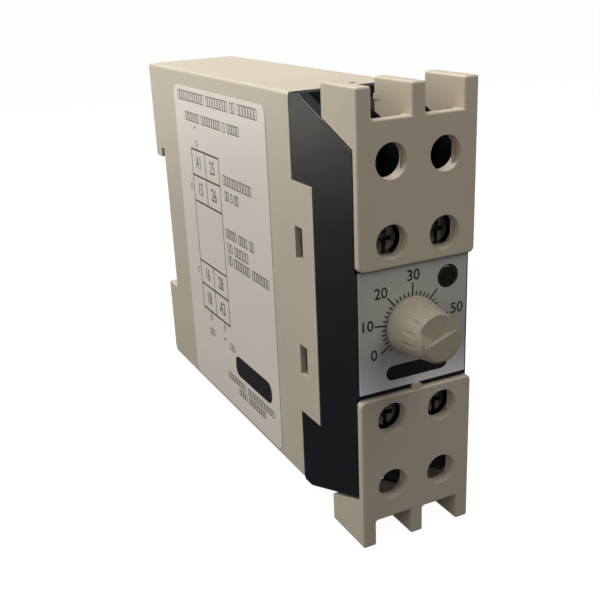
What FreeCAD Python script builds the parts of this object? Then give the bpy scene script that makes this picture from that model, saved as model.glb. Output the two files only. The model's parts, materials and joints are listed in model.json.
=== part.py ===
import FreeCAD, Part
import math
import os
import re

import Sketcher
from FreeCAD import Rotation, Vector

# On-delay timer for a 35 mm rail, 22.5 mm wide.
# Frame: X to the right seen from the front, Y from the front to the rear, Z up.
# The origin is the middle of the face that rests on the rail.
# "Depth" is measured rearwards from the front plane of the terminal covers,
# so Y is depth minus seat_depth.

DIMENSIONS = {
    # clearances: over is how far a cutting tool runs past the face that it opens
    "over": 1.0, "gap": 0.3, "fit": 0.1, "board_gap": 0.05,
    # housing
    "width": 22.5, "body_height": 76.0, "cover_height": 81.3,
    "seat_depth": 95.0, "total_depth": 101.6, "wall": 1.8,
    "shell_front": 23.5, "tongue_front": 15.7, "tongue_half": 22.8, "upper_room": 20.5,
    "window_front": 20.1, "window_rear": 23.0, "window_mid": 11.55, "window_height": 6.0,
    "shell_corner": 0.7, "heel_corner": 2.0,
    "latch_left": 1.4, "latch_right": 4.0, "latch_front": 25.4, "latch_rear": 27.2,
    # rail notch and clip
    "rail_half": 18.0, "lip_bottom": 15.8, "undercut_top": 18.1, "undercut_width": 2.2,
    "channel_depth": 96.2, "channel_half": 5.4, "groove_half": 6.8,
    "groove_front": 98.0, "groove_rear": 99.6, "clip_gap": 0.2,
    "clip_rear": 101.2, "hook_front": 97.2, "hook_top": 15.6, "hook_nose": 2.4,
    "clip_bottom": 40.3, "rib_bottom": 37.5, "rib_top": 20.0,
    "peg_half": 1.6, "peg_bottom": 34.6, "peg_top": 32.8, "peg_root": 0.5,
    "peg_room": 0.4, "clip_window_top": 24.0,
    "pry_half": 2.5, "pry_low": 0.9, "pry_high": 2.4,
    "spring_pitch": 1.35, "spring_height": 8.1, "spring_radius": 1.25,
    "spring_wire": 0.2, "spring_depth": 1.8, "spring_lift": 0.25,
    # terminal block
    "block_front": 1.7, "boss_front": 0.9, "boss_half": 11.2, "boss_right": 10.5,
    "slope_start": 30.85, "slope_depth": 20.0, "block_rear": 31.0, "block_edge": 0.3,
    "skirt_half": 9.3, "skirt_gap": 0.2, "well_inner": 1.05, "well_outer": 9.05,
    "well_floor_inner": 8.8, "well_floor_outer": 14.0, "well_low": 11.9, "well_step": 22.0,
    "floor_thickness": 1.6, "mouth_low": 35.4, "mouth_rear": 20.05,
    "dial_room_front": 2.6, "dial_room_rear": 14.6, "dial_room_half": 10.6,
    "room_side": 7.8, "board_room_front": 14.0, "board_room_half": 20.4,
    "rear_room_half": 34.2, "inner_room_low": 11.4, "inner_room_side": 1.6,
    "inner_room_rear": 20.0, "catch_root": 0.4, "catch_rise": 0.9, "catch_gap": 0.4,
    # covers
    "cover_plate": 1.4, "cover_edge": 11.44, "notch_floor": 35.6, "side_wall": 2.65,
    "middle_wall": 2.5, "wall_start": 0.6, "cover_wall_rear": 11.3, "cover_gap": 0.45,
    "collar_depth": 2.4, "collar_radius": 3.8, "collar_root": 0.2, "driver_hole": 2.95,
    "cover_corner": 1.0, "notch_corner": 0.5, "edge_softness": 0.4, "gusset": 1.5,
    "tab_left": 0.75, "tab_right": 0.95, "tab_rise": 1.0, "tab_root": 0.6,
    "tab_step": 0.38, "tab_corner": 0.5, "tab_gap": 0.25,
    "snap_gap": 0.35, "snap_thickness": 0.8, "snap_near": 3.2, "snap_far": 7.0, "snap_end": 4.3,
    "nib_level": 37.5, "nib_half": 0.45, "nib_length": 2.6, "nib_rise": 0.3,
    # terminals
    "terminal_x": 5.1, "terminal_inner": 15.85, "terminal_outer": 28.95,
    "head_inner": 2.7, "head_outer": 7.9, "head_radius": 2.75, "head_height": 2.0,
    "head_dome": 0.7, "slot_half": 0.4, "slot_deep": 0.9, "cross_half": 1.5,
    "cross_width": 0.42, "cross_deep": 1.2, "screw_radius": 1.5, "screw_length": 8.0,
    "shank_root": 0.2, "tip_round": 0.5, "screw_play": 0.05, "screw_hole_play": 0.5,
    "clamp_width": 6.8, "clamp_length": 6.6, "clamp_thickness": 1.1, "clamp_corner": 0.5,
    "bar_thickness": 1.0, "bar_width": 7.2, "bar_gap": 0.4, "bar_step": 1.0,
    "bar_end_inner": 20.6, "bar_end_outer": 33.2, "thread_play": 0.06,
    "tail_width": 2.4, "tail_thickness": 0.8, "tail_end": 29.8, "tail_play": 0.15,
    # dial plate and indicator
    "dial_x": -0.9, "dial_z": 0.65, "plate_front": 0.6, "plate_left": 11.1,
    "plate_right": 10.2, "plate_bottom": 10.4, "plate_top": 11.3, "plate_lift": 0.02,
    "lens_x": 6.35, "lens_z": 7.9, "lens_radius": 2.0, "lens_length": 3.6, "lens_round": 0.5,
    "led_front": 4.4, "led_radius": 1.5, "led_length": 3.4, "led_round": 1.3,
    "led_rim_front": 7.6, "led_rim_radius": 1.9, "led_rim_length": 1.0,
    "led_leg": 0.5, "led_leg_end": 14.4, "led_hole": 0.45,
    # knob
    "knob_base": 5.1, "knob_tip": 4.02, "knob_front": 8.5, "knob_back": 0.25,
    "knob_rim": 0.8, "knob_turn": 20.0, "knob_bore": 6.0, "knob_grip": 0.01,
    "tip_draft": 0.06, "flute_count": 13, "flute_start": 8, "flute_depth": 0.25,
    "flute_radius": 1.1, "flute_half": 3.4, "flute_middle": 5.4,
    "scoop_radius": 5.0, "scoop_depth": 1.1,
    "scoop_edge": 0.35, "scoop_reach": 4.2,
    # potentiometer
    "shaft_radius": 3.0, "shaft_front": -5.8, "shaft_length": 14.6, "shaft_fit": 0.05,
    "flat_end": -0.6, "flat_depth": 1.5, "bushing_radius": 3.5, "bushing_front": 1.2,
    "bushing_play": 0.2, "bore_length": 8.9, "case_half": 4.9, "case_tall": 5.4,
    "case_front": 5.2, "case_rear": 10.2, "case_corner": 0.8,
    "wafer_half": 4.8, "wafer_low": 7.6, "wafer_top": 5.2, "wafer_rear": 11.3,
    "wafer_pin_low": 6.8, "wafer_pin_radius": 0.45, "wafer_pin_length": 3.1,
    "wafer_hole": 0.55,
    # side label
    "label_front": 33.5, "label_rear": 83.7, "label_top": 34.6, "label_bottom": 36.8,
    "label_thickness": 0.12, "label_corner": 2.0,
    # boards and pins
    "board": 1.6, "control_board": 12.2, "control_half": 9.1, "control_tall": 10.2,
    "terminal_board": 27.0, "terminal_board_half": 7.6, "terminal_board_tall": 33.8,
    "main_board": -8.6, "main_front": 31.5, "main_rear": 92.5, "main_half": 35.4,
    "pin": 0.6, "pin_hole": 0.5, "header_level": -8.6, "header_start": 11.6,
    "header_end": 29.6, "strip_half": 1.2, "strip_front": 14.0, "strip_rear": 16.5,
    "link_start": 26.4, "link_turn": 34.0, "link_reach": 0.6,
    "link_strip_front": 28.8, "link_strip_rear": 31.2, "link_strip_half": 31.5,
    # relay
    "relay_front": 38.0, "relay_length": 29.0, "relay_low": 14.0, "relay_width": 12.9,
    "relay_top": 8.8, "relay_wall": 0.9, "relay_corner": 0.5, "relay_lift": 0.1,
    "relay_base_top": 2.1, "relay_pin_first": 2.6, "relay_pin_second": 6.0,
    "relay_pin_third": 9.0, "relay_pin_last": 3.0, "relay_pin_side": 2.7,
    "relay_pin_out": 0.7, "relay_pin_radius": 0.4,
    "coil_axis": 0.4, "bobbin_front": 49.0, "bobbin_length": 15.0, "bobbin_rim": 5.1,
    "bobbin_rim_thickness": 1.0, "bobbin_tube": 2.6, "winding_radius": 4.8,
    "pole_front": 48.0, "pole_radius": 3.0, "pole_thickness": 0.9, "core_radius": 2.0,
    "core_length": 16.5, "core_play": 0.06,
    "yoke_low": -3.2, "yoke_top": 7.4, "yoke_front": 47.2, "yoke_rear": 65.6,
    "yoke_thickness": 1.5, "yoke_half": 4.0,
    "armature_low": -2.8, "armature_top": 7.2, "armature_front": 45.9,
    "armature_rear": 47.05, "armature_corner": 0.5,
    "pivot_x": 6.65, "pivot_depth": 46.6, "pivot_radius": 0.55, "pivot_half": 4.9,
    "card_low": -2.0, "card_front": 41.3, "card_rear": 45.85, "card_half": 0.4,
    "card_lip": 0.6, "card_lip_half": 2.8,
    "contact_near": 0.7, "contact_far": 3.1, "contact_top": 5.0, "contact_x": 3.6,
    "contact_radius": 0.9, "leaf_front": 42.2, "leaf_thickness": 0.2,
    "button_front": 41.8, "button_length": 1.0, "strip_thickness": 0.4,
    # film capacitor, chip and varistor
    "lead_radius": 0.35, "lead_length": 1.2, "film_lift": 1.0, "film_top": 6.5,
    "film_front": 71.0, "film_rear": 89.0, "film_low": 13.0, "film_high": 21.5,
    "film_corner": 0.6, "can_lift": 0.8, "can_corner": 0.6,
    "chip_lift": 0.9, "chip_height": 4.3, "chip_front": 44.0, "chip_rear": 63.3,
    "chip_low": -13.2, "chip_high": -6.8, "chip_leg_start": 45.2, "chip_leg_out": 0.8,
    "chip_leg_height": 2.4, "chip_leg_width": 0.5, "chip_pitch": 2.54,
    "disc_height": 6.6, "disc_front": 60.0, "disc_level": 2.5, "disc_radius": 5.0,
    "disc_thickness": 3.6, "disc_corner": 1.2, "disc_leg_length": 3.2,
    "axial_height": 2.0, "axial_lead": 0.3, "axial_reach": 1.5,
}

doc = FreeCAD.newDocument("rail_timer")
parts = []


def make_sheet():
    sheet = doc.addObject("Spreadsheet::Sheet", "Dims")
    for row, (alias, value) in enumerate(DIMENSIONS.items(), start=1):
        sheet.set(f"A{row}", alias)
        sheet.set(f"B{row}", str(value))
        sheet.setAlias(f"B{row}", alias)
    doc.recompute()
    return sheet


sheet = make_sheet()


def cells(expression):
    """Point the plain names in an expression at the sheet's cells."""
    def point(match):
        word = match.group(0)
        return f"Dims.{word}" if word in DIMENSIONS else word
    return re.sub(r"[a-z][a-z_]*", point, str(expression))


def bind(item, path, expression):
    item.setExpression(path, cells(expression))


def size(alias):
    return float(sheet.get(alias))


def keep(item, node):
    """Register an object as the finished sub-part called node."""
    item.Label = node
    parts.append(item)
    return item


def mirrored(side, near, far):
    """The span near..far on the positive side, or its mirror image."""
    if side > 0:
        return f"{near}", f"{far}"
    return f"-({far})", f"-({near})"


# ---- solids from Part primitives -------------------------------------------------

def slab(name, x1, x2, d1, d2, z1, z2):
    """Box between two X planes, two depths and two Z planes."""
    box = doc.addObject("Part::Box", name)
    bind(box, "Length", f"({x2}) - ({x1})")
    bind(box, "Width", f"({d2}) - ({d1})")
    bind(box, "Height", f"({z2}) - ({z1})")
    bind(box, "Placement.Base.x", x1)
    bind(box, "Placement.Base.y", f"({d1}) - seat_depth")
    bind(box, "Placement.Base.z", z1)
    return box


ALONG = {
    "x": Rotation(Vector(0, 1, 0), 90),
    "y": Rotation(Vector(1, 0, 0), -90),
    "z": Rotation(),
}


def rod(name, axis, x, d, z, radius, length):
    """Cylinder that starts at (x, depth, z) and runs along +X, +Y or +Z."""
    cylinder = doc.addObject("Part::Cylinder", name)
    cylinder.Placement = FreeCAD.Placement(Vector(), ALONG[axis])
    bind(cylinder, "Radius", radius)
    bind(cylinder, "Height", length)
    bind(cylinder, "Placement.Base.x", x)
    bind(cylinder, "Placement.Base.y", f"({d}) - seat_depth")
    bind(cylinder, "Placement.Base.z", z)
    return cylinder


def union(name, shapes):
    fused = doc.addObject("Part::MultiFuse", name)
    fused.Shapes = shapes
    return fused


def cut(name, base, tools):
    result = doc.addObject("Part::Cut", name)
    result.Base = base
    result.Tool = tools[0] if len(tools) == 1 else union(f"{name}_tools", tools)
    return result


def group(name, shapes):
    """Several separate solids in one node."""
    compound = doc.addObject("Part::Compound", name)
    compound.Links = shapes
    return compound


def rounded(name, base, radius_of):
    """Fillet every edge for which radius_of(edge) gives a radius."""
    doc.recompute()
    fillet = doc.addObject("Part::Fillet", name)
    fillet.Base = base
    radii = [(n, radius_of(edge)) for n, edge in enumerate(base.Shape.Edges, start=1)]
    fillet.Edges = [(n, radius, radius) for n, radius in radii if radius]
    return fillet


def lies_on(edge, axis, value):
    """True if the whole edge is in the plane where the coordinate equals value."""
    box = edge.BoundBox
    low = (box.XMin, box.YMin, box.ZMin)[axis]
    high = (box.XMax, box.YMax, box.ZMax)[axis]
    return abs(low - value) < 1e-4 and abs(high - value) < 1e-4


def runs_along(edge, axis):
    box = edge.BoundBox
    lengths = (box.XLength, box.YLength, box.ZLength)
    return lengths[axis] > 1e-4 and sum(lengths) - lengths[axis] < 1e-4


# ---- solids from PartDesign bodies -----------------------------------------------

def new_body(name):
    return doc.addObject("PartDesign::Body", name)


def sketch_on(body, role, offset, name):
    """Sketch on one of the body's own origin planes, moved along its normal."""
    sketch = body.newObject("Sketcher::SketchObject", name)
    plane = next(item for item in body.Origin.OriginFeatures if item.Role == role)
    sketch.AttachmentSupport = [(plane, "")]
    sketch.MapMode = "FlatFace"
    bind(sketch, "AttachmentOffset.Base.z", offset)
    return sketch


def outline(sketch, corners):
    """Closed polygon whose corners are all bound to expressions."""
    count = len(corners)
    first = sketch.GeometryCount
    ring = [Vector(math.cos(2 * math.pi * k / count), math.sin(2 * math.pi * k / count), 0)
            for k in range(count)]
    for k in range(count):
        sketch.addGeometry(Part.LineSegment(ring[k], ring[(k + 1) % count]), False)
    for k in range(count):
        follower = first + (k + 1) % count
        sketch.addConstraint(Sketcher.Constraint("Coincident", first + k, 2, follower, 1))
    for k, (across, upward) in enumerate(corners):
        start = ring[k]
        number = sketch.addConstraint(
            Sketcher.Constraint("DistanceX", -1, 1, first + k, 1, start.x))
        bind(sketch, f"Constraints[{number}]", across)
        number = sketch.addConstraint(
            Sketcher.Constraint("DistanceY", -1, 1, first + k, 1, start.y))
        bind(sketch, f"Constraints[{number}]", upward)


def ring_hole(sketch, across, upward, radius):
    """Full circle with a bound centre and radius."""
    number = sketch.addGeometry(Part.Circle(Vector(1, 1, 0), Vector(0, 0, 1), 1), False)
    limits = (("DistanceX", across), ("DistanceY", upward))
    for kind, expression in limits:
        at = sketch.addConstraint(Sketcher.Constraint(kind, -1, 1, number, 3, 1.0))
        bind(sketch, f"Constraints[{at}]", expression)
    at = sketch.addConstraint(Sketcher.Constraint("Radius", number, 1.0))
    bind(sketch, f"Constraints[{at}]", radius)


def pad(body, sketch, length, name):
    feature = body.newObject("PartDesign::Pad", name)
    feature.Profile = sketch
    bind(feature, "Length", length)
    sketch.Visibility = False
    return feature


def soften(body, radius, chosen, name):
    """PartDesign fillet on the edges of the body's tip that chosen accepts."""
    doc.recompute()
    tip = body.Tip
    names = [f"Edge{n}" for n, edge in enumerate(tip.Shape.Edges, start=1) if chosen(edge)]
    feature = body.newObject("PartDesign::Fillet", name)
    feature.Base = (tip, names)
    bind(feature, "Radius", radius)
    return feature


# ---- housing ---------------------------------------------------------------------

def housing_shell():
    """Rear shell: open at the front, with the rail notch and clip channel behind."""
    half = "width / 2"
    high = "body_height / 2"
    inner = "(width / 2 - wall)"
    outer = slab("shell_outer", f"-{half}", half, "shell_front", "total_depth",
                 f"-{high}", high)
    rear = size("total_depth") - size("seat_depth")
    bottom = -size("body_height") / 2

    def corner_radius(edge):
        if lies_on(edge, 1, rear) and lies_on(edge, 2, bottom):
            return size("heel_corner")
        return size("shell_corner") if runs_along(edge, 1) or lies_on(edge, 1, rear) else 0

    soft = rounded("shell_soft", outer, corner_radius)
    tongues = []
    for side in (-1, 1):
        x1, x2 = mirrored(side, inner, half)
        tongues.append(slab("tongue", x1, x2, "tongue_front", "shell_front + over",
                            "-tongue_half", "tongue_half"))
    body = union("shell_body", [soft] + tongues)
    tools = [
        slab("cavity", f"-{inner}", inner, "shell_front - over", "seat_depth - wall",
             f"-({high} - wall)", f"{high} - wall"),
        slab("cavity_upper", f"-{inner}", inner, "seat_depth - wall - over",
             "total_depth - wall", "upper_room", f"{high} - wall"),
        slab("rail_notch", f"-{half} - over", f"{half} + over", "seat_depth",
             "total_depth + over", "-rail_half", "lip_bottom"),
        slab("rail_undercut", f"-{half} - over", f"{half} + over", "seat_depth",
             "seat_depth + undercut_width", "lip_bottom - over", "undercut_top"),
        slab("clip_channel", "-channel_half", "channel_half", "channel_depth",
             "total_depth + over", f"-{high} - over", "-rail_half + over"),
        slab("clip_grooves", "-groove_half", "groove_half", "groove_front", "groove_rear",
             f"-{high} - over", "-rail_half + over"),
    ]
    for level in (-1, 1):
        tools.append(slab("latch_slot", "latch_left", "latch_right", "latch_front",
                          "latch_rear", *mirrored(level, f"{high} - wall - over",
                                                  f"{high} + over")))
    for side in (-1, 1):
        for level in (-1, 1):
            x1, x2 = mirrored(side, f"{inner} - over", f"{half} + over")
            z1, z2 = mirrored(level, "window_mid - window_height / 2",
                              "window_mid + window_height / 2")
            tools.append(slab("latch_window", x1, x2, "window_front", "window_rear", z1, z2))
    hollow = cut("shell_hollow", body, tools)
    peg = slab("spring_peg", "-peg_half", "peg_half", "channel_depth - peg_root",
               "groove_rear", "-peg_bottom", "-peg_top")
    return keep(union("housing_shell", [hollow, peg]), "housing_shell")


def block_solid():
    """The block's side profile across its width, and the skirt that enters the shell."""
    seam = "(shell_front - gap)"
    body = new_body("block_profile")
    profile = sketch_on(body, "YZ_Plane", "-width / 2", "side_profile")
    outline(profile, [
        ("boss_front - seat_depth", "-boss_half"),
        ("block_front - seat_depth", "-boss_half"),
        ("block_front - seat_depth", "-slope_start"),
        ("slope_depth - seat_depth", "-body_height / 2"),
        (f"{seam} - seat_depth", "-body_height / 2"),
        (f"{seam} - seat_depth", "body_height / 2"),
        ("slope_depth - seat_depth", "body_height / 2"),
        ("block_front - seat_depth", "slope_start"),
        ("block_front - seat_depth", "boss_half"),
        ("boss_front - seat_depth", "boss_half"),
    ])
    pad(body, profile, "width", "side_pad")
    slope_low = size("slope_start")
    slope_rear = size("slope_depth") - size("seat_depth")

    def slope_edge(edge):
        on_side = any(lies_on(edge, 0, x * size("width") / 2) for x in (-1, 1))
        middle = edge.BoundBox.Center
        return on_side and middle.y < slope_rear and abs(middle.z) > slope_low

    soften(body, "block_edge", slope_edge, "soft_slopes")
    skirt = slab("skirt", "-skirt_half", "skirt_half", f"{seam} - over", "block_rear",
                 "-(body_height / 2 - wall - skirt_gap)", "body_height / 2 - wall - skirt_gap")
    return union("block_solid", [body, skirt])


def terminal_block():
    """Front carrier with two stepped rows of terminal wells above and below the dial."""
    tools = [
        slab("dial_room", "-(skirt_half + fit)", "skirt_half + fit", "dial_room_front",
             "dial_room_rear", "-dial_room_half", "dial_room_half"),
        slab("board_room", "-room_side", "room_side", "board_room_front",
             "block_rear + over", "-board_room_half", "board_room_half"),
        slab("rear_room", "-room_side", "room_side", "well_floor_outer + floor_thickness",
             "block_rear + over", "-rear_room_half", "rear_room_half"),
        rod("bushing_hole", "y", "dial_x", "0", "dial_z", "bushing_radius + bushing_play",
            "dial_room_front + over"),
        rod("lens_seat", "y", "lens_x", "0", "lens_z", "lens_radius + fit",
            "dial_room_front + over"),
        slab("lower_tab_recess", "-tab_left - gap", "tab_right + gap", "0", "block_front",
             "-boss_half - fit", "-cover_edge + tab_rise + tab_gap"),
        slab("upper_tab_recess", "-tab_left - gap", "tab_right + gap", "0", "block_front",
             "cover_edge - tab_rise - tab_gap", "boss_half + fit"),
        slab("boss_end", "boss_right", "width / 2 + over", "0", "block_front",
             "-boss_half - fit", "boss_half + fit"),
    ]
    for side in (-1, 1):
        x1, x2 = mirrored(side, "skirt_half", "width / 2 + over")
        tools.append(slab("tongue_seat", x1, x2, "tongue_front - gap", "block_rear + over",
                          "-tongue_half - gap", "tongue_half + gap"))
        for level in (-1, 1):
            tools += terminal_well_tools(side, level)
    carved = cut("block_carved", block_solid(), tools)
    catches = [catch(side, level) for side in (-1, 1) for level in (-1, 1)]
    return keep(union("terminal_block", [carved] + catches), "terminal_block")


def terminal_well_tools(side, level):
    """What one column of two wells takes out of the terminal block."""
    x1, x2 = mirrored(side, "well_inner", "well_outer")
    centre = f"{side} * terminal_x"
    behind = mirrored(side, "inner_room_side", "room_side")
    tools = [
        slab("inner_well", x1, x2, "0", "well_floor_inner",
             *mirrored(level, "well_low", "well_step")),
        slab("outer_well", x1, x2, "0", "well_floor_outer",
             *mirrored(level, "well_step", "cover_height / 2")),
        slab("wire_mouth", x1, x2, "well_floor_outer - over", "mouth_rear",
             *mirrored(level, "mouth_low", "body_height / 2 + over")),
        slab("inner_room", *behind, "well_floor_inner + floor_thickness", "inner_room_rear",
             *mirrored(level, "inner_room_low", "board_room_half")),
    ]
    for row in ("inner", "outer"):
        tools.append(rod("screw_hole", "y", centre, f"well_floor_{row} - over",
                         f"{level} * terminal_{row}", "screw_radius + screw_hole_play",
                         "floor_thickness + 2 * over"))
        tools.append(tail_slot(row, level, side, f"well_floor_{row} - over",
                               f"well_floor_{row} + floor_thickness + over", "tail_play"))
    return tools


def tail_start(row):
    """Level at which a terminal's tail starts, beside the inner wall of its well."""
    return "(well_low + bar_gap)" if row == "inner" else "(well_step + bar_step)"


def tail_slot(row, level, side, front, rear, play):
    """Room for one terminal's tail, with the given play all round it."""
    x = f"{side} * terminal_x"
    z1, z2 = mirrored(level, f"{tail_start(row)} - {play}",
                      f"{tail_start(row)} + tail_thickness + {play}")
    return slab("tail_slot", f"{x} - tail_width / 2 - {play}",
                f"{x} + tail_width / 2 + {play}", front, rear, z1, z2)


def catch(side, level):
    """Bump on the block that snaps into a side window of the shell."""
    x1, x2 = mirrored(side, "skirt_half - catch_root", "skirt_half + catch_rise")
    z1, z2 = mirrored(level, "window_mid - window_height / 2 + catch_gap",
                      "window_mid + window_height / 2 - catch_gap")
    return slab("catch", x1, x2, "window_front + gap", "window_rear - gap", z1, z2)


def terminal_cover(node, level):
    """Touch-proof cover: front plate, three walls and a collar round each screw."""
    body = new_body(f"{node}_plate")
    half = "width / 2"
    side_in = "(width / 2 - side_wall)"
    mid = "middle_wall / 2"
    top = f"{level} * cover_height / 2"
    floor = f"{level} * notch_floor"
    edge = f"{level} * cover_edge"
    front = sketch_on(body, "XZ_Plane", "seat_depth - cover_plate", "front")
    outline(front, [
        (f"-{half}", edge), (half, edge), (half, top), (side_in, top),
        (side_in, floor), (mid, floor), (mid, top), (f"-{mid}", top),
        (f"-{mid}", floor), (f"-{side_in}", floor), (f"-{side_in}", top), (f"-{half}", top),
    ])
    centres = [(side, row) for side in (-1, 1) for row in ("terminal_inner", "terminal_outer")]
    for side, row in centres:
        ring_hole(front, f"{side} * terminal_x", f"{level} * {row}", "driver_hole")
    pad(body, front, "cover_plate", "front_pad")
    collars = sketch_on(body, "XZ_Plane", "seat_depth - collar_depth", "collars")
    for side, row in centres:
        for radius in ("driver_hole", "collar_radius"):
            ring_hole(collars, f"{side} * terminal_x", f"{level} * {row}", radius)
    pad(body, collars, "collar_depth - cover_plate + collar_root", "collar_pad")
    slope = "((body_height / 2 - slope_start) / (slope_depth - block_front))"
    walls = ((f"-{half}", "side_wall"), (f"-{mid}", "middle_wall"), (side_in, "side_wall"))
    for start, thickness in walls:
        wall = sketch_on(body, "YZ_Plane", start, "wall")
        low_front, low_rear = (
            f"{level} * (slope_start + cover_gap + ({depth} - block_front) * {slope})"
            for depth in ("wall_start", "cover_wall_rear"))
        outline(wall, [
            ("wall_start - seat_depth", low_front), ("cover_wall_rear - seat_depth", low_rear),
            ("cover_wall_rear - seat_depth", top), ("wall_start - seat_depth", top),
        ])
        pad(body, wall, thickness, "wall_pad")
    soften_cover(body, level)
    return keep(union(node, [body] + cover_details(level)), node)


def soften_cover(body, level):
    """Round the corners of the plate and notches, then the edges that show."""
    front_y = -size("seat_depth")
    rear_y = size("cover_wall_rear") - size("seat_depth")
    outer_x = size("width") / 2
    outer_z = level * size("cover_height") / 2
    inner_z = level * size("cover_edge")
    notch_z = level * size("notch_floor")
    notch_left = (size("side_wall") - outer_x, size("middle_wall") / 2)

    def on_side(edge):
        return lies_on(edge, 0, outer_x) or lies_on(edge, 0, -outer_x)

    def plate_corner(edge):
        return runs_along(edge, 1) and on_side(edge) and lies_on(edge, 2, inner_z)

    def notch_corner(edge):
        at_left = any(lies_on(edge, 0, x) for x in notch_left)
        return runs_along(edge, 1) and at_left and lies_on(edge, 2, notch_z)

    def shows(edge):
        if len(edge.Vertexes) < 2:
            return False
        on_end = lies_on(edge, 2, outer_z) and not lies_on(edge, 1, rear_y)
        return lies_on(edge, 1, front_y) or on_end

    soften(body, "cover_corner", plate_corner, "soft_corners")
    soften(body, "notch_corner", notch_corner, "soft_notches")
    soften(body, "edge_softness", shows, "soft_front")


def cover_details(level):
    """Snap legs, wedges on the middle wall, corner ribs and the centring tab of a cover."""
    tab_front = "fit" if level < 0 else "plate_front + tab_step"
    tab = slab("tab", "-tab_left", "tab_right", tab_front, "cover_plate",
               *mirrored(level, "cover_edge - tab_rise", "cover_edge + tab_root"))
    tab_end = level * (size("cover_edge") - size("tab_rise"))
    soft_tab = rounded("soft_tab", tab, lambda edge: size("tab_corner") * (
        runs_along(edge, 1) and lies_on(edge, 2, tab_end)))
    pieces = [soft_tab]
    for number, x in enumerate(("-middle_wall / 2", "width / 2 - side_wall")):
        pieces.append(corner_gusset(f"gusset_{number}", x, level))
    for side in (-1, 1):
        z1, z2 = mirrored(level, "well_low + snap_gap", "well_low + snap_gap + snap_thickness")
        x1, x2 = mirrored(side, "snap_near", "snap_far")
        pieces.append(slab("snap_leg", x1, x2, "cover_plate - gap", "snap_end", z1, z2))
        pieces.append(snap_wedge(side, level))
    return pieces


def corner_gusset(name, wall_face, level):
    """Triangular rib that fills the corner between the front plate and a wall's left face."""
    body = new_body(name)
    start = f"{level} * well_low" if level > 0 else "-notch_floor"
    triangle = sketch_on(body, "XY_Plane", start, f"{name}_profile")
    behind = "cover_plate - fit - seat_depth"
    outline(triangle, [(f"{wall_face} + fit", behind), (f"{wall_face} - gusset", behind),
                       (f"{wall_face} + fit", "cover_plate + gusset - seat_depth")])
    pad(body, triangle, "notch_floor - well_low", f"{name}_pad")
    return body


def snap_wedge(side, level):
    """Small wedge at the rear end of the middle wall, thickest at the wall's end."""
    body = new_body("snap_wedge")
    triangle = sketch_on(body, "XY_Plane", f"{level} * nib_level - nib_half", "wedge_profile")
    root = f"{side} * (middle_wall / 2 - fit)"
    rear = "cover_wall_rear - seat_depth"
    outline(triangle, [(root, f"{rear} - nib_length"), (root, rear),
                       (f"{side} * (middle_wall / 2 + nib_rise)", rear)])
    pad(body, triangle, "2 * nib_half", "wedge_pad")
    return body


# ---- terminals -------------------------------------------------------------------

TERMINALS = [(row, level, side)
             for level in (1, -1) for row in ("outer", "inner") for side in (-1, 1)]


def terminal_screw(number, row, level, side):
    """Pan-head screw with a combined cross and slot."""
    x = f"{side} * terminal_x"
    z = f"{level} * terminal_{row}"
    start = f"head_{row}"
    head = rod("head", "y", x, start, z, "head_radius", "head_height")
    front = size(start) - size("seat_depth")
    domed = rounded("domed_head", head, lambda edge: size("head_dome") * lies_on(edge, 1, front))
    recess = [
        slab("slot", f"{x} - slot_half", f"{x} + slot_half", f"{start} - fit",
             f"{start} + slot_deep", f"{z} - head_radius - fit", f"{z} + head_radius + fit"),
        slab("cross_bar", f"{x} - cross_half", f"{x} + cross_half", f"{start} - fit",
             f"{start} + cross_deep", f"{z} - cross_width", f"{z} + cross_width"),
        slab("cross_post", f"{x} - cross_width", f"{x} + cross_width", f"{start} - fit",
             f"{start} + cross_deep", f"{z} - cross_half", f"{z} + cross_half"),
    ]
    cut_head = cut("cut_head", domed, recess)
    shank = rod("shank", "y", x, f"{start} + head_height - shank_root", z, "screw_radius",
                "screw_length + shank_root")
    tip_y = size(start) + size("head_height") + size("screw_length") - size("seat_depth")
    pointed = rounded("shank_tip", shank, lambda edge: size("tip_round") * lies_on(edge, 1, tip_y))
    node = f"terminal_screw_{number}"
    return keep(union(node, [cut_head, pointed]), node)


def wire_clamp(number, row, level, side):
    """Square pressure plate carried under the screw's head."""
    x = f"{side} * terminal_x"
    z = f"{level} * terminal_{row}"
    start = f"head_{row} + head_height + screw_play"
    plate = slab("plate", f"{x} - clamp_width / 2", f"{x} + clamp_width / 2", start,
                 f"{start} + clamp_thickness", f"{z} - clamp_length / 2",
                 f"{z} + clamp_length / 2")
    corners = rounded("soft_plate", plate, lambda edge: size("clamp_corner") * runs_along(edge, 1))
    hole = rod("hole", "y", x, f"{start} - over", z, "screw_radius + fit",
               "clamp_thickness + 2 * over")
    node = f"wire_clamp_{number}"
    return keep(cut(node, corners, [hole]), node)


def terminal_bar(row, level, side):
    """Threaded contact bar with a tail that runs back to the terminal board."""
    x = f"{side} * terminal_x"
    floor = f"well_floor_{row}"
    start = tail_start(row)
    plate = slab("bar", f"{x} - bar_width / 2", f"{x} + bar_width / 2",
                 f"{floor} - bar_thickness", floor, *mirrored(level, start, f"bar_end_{row}"))
    tail = slab("tail", f"{x} - tail_width / 2", f"{x} + tail_width / 2",
                f"{floor} - bar_thickness", "tail_end",
                *mirrored(level, start, f"{start} + tail_thickness"))
    thread = rod("thread", "y", x, f"{floor} - bar_thickness - over",
                 f"{level} * terminal_{row}", "screw_radius + thread_play",
                 "bar_thickness + 2 * over")
    return cut("terminal_bar", union("bar_with_tail", [plate, tail]), [thread])


def terminals():
    """All eight terminals; the bars of each row of four share one node."""
    for number, (row, level, side) in enumerate(TERMINALS, start=1):
        terminal_screw(number, row, level, side)
        wire_clamp(number, row, level, side)
    for level, node in ((1, "terminal_bars_upper"), (-1, "terminal_bars_lower")):
        bars = [terminal_bar(row, level, side)
                for row in ("outer", "inner") for side in (-1, 1)]
        keep(group(node, bars), node)


# ---- dial, knob and potentiometer ------------------------------------------------

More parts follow.
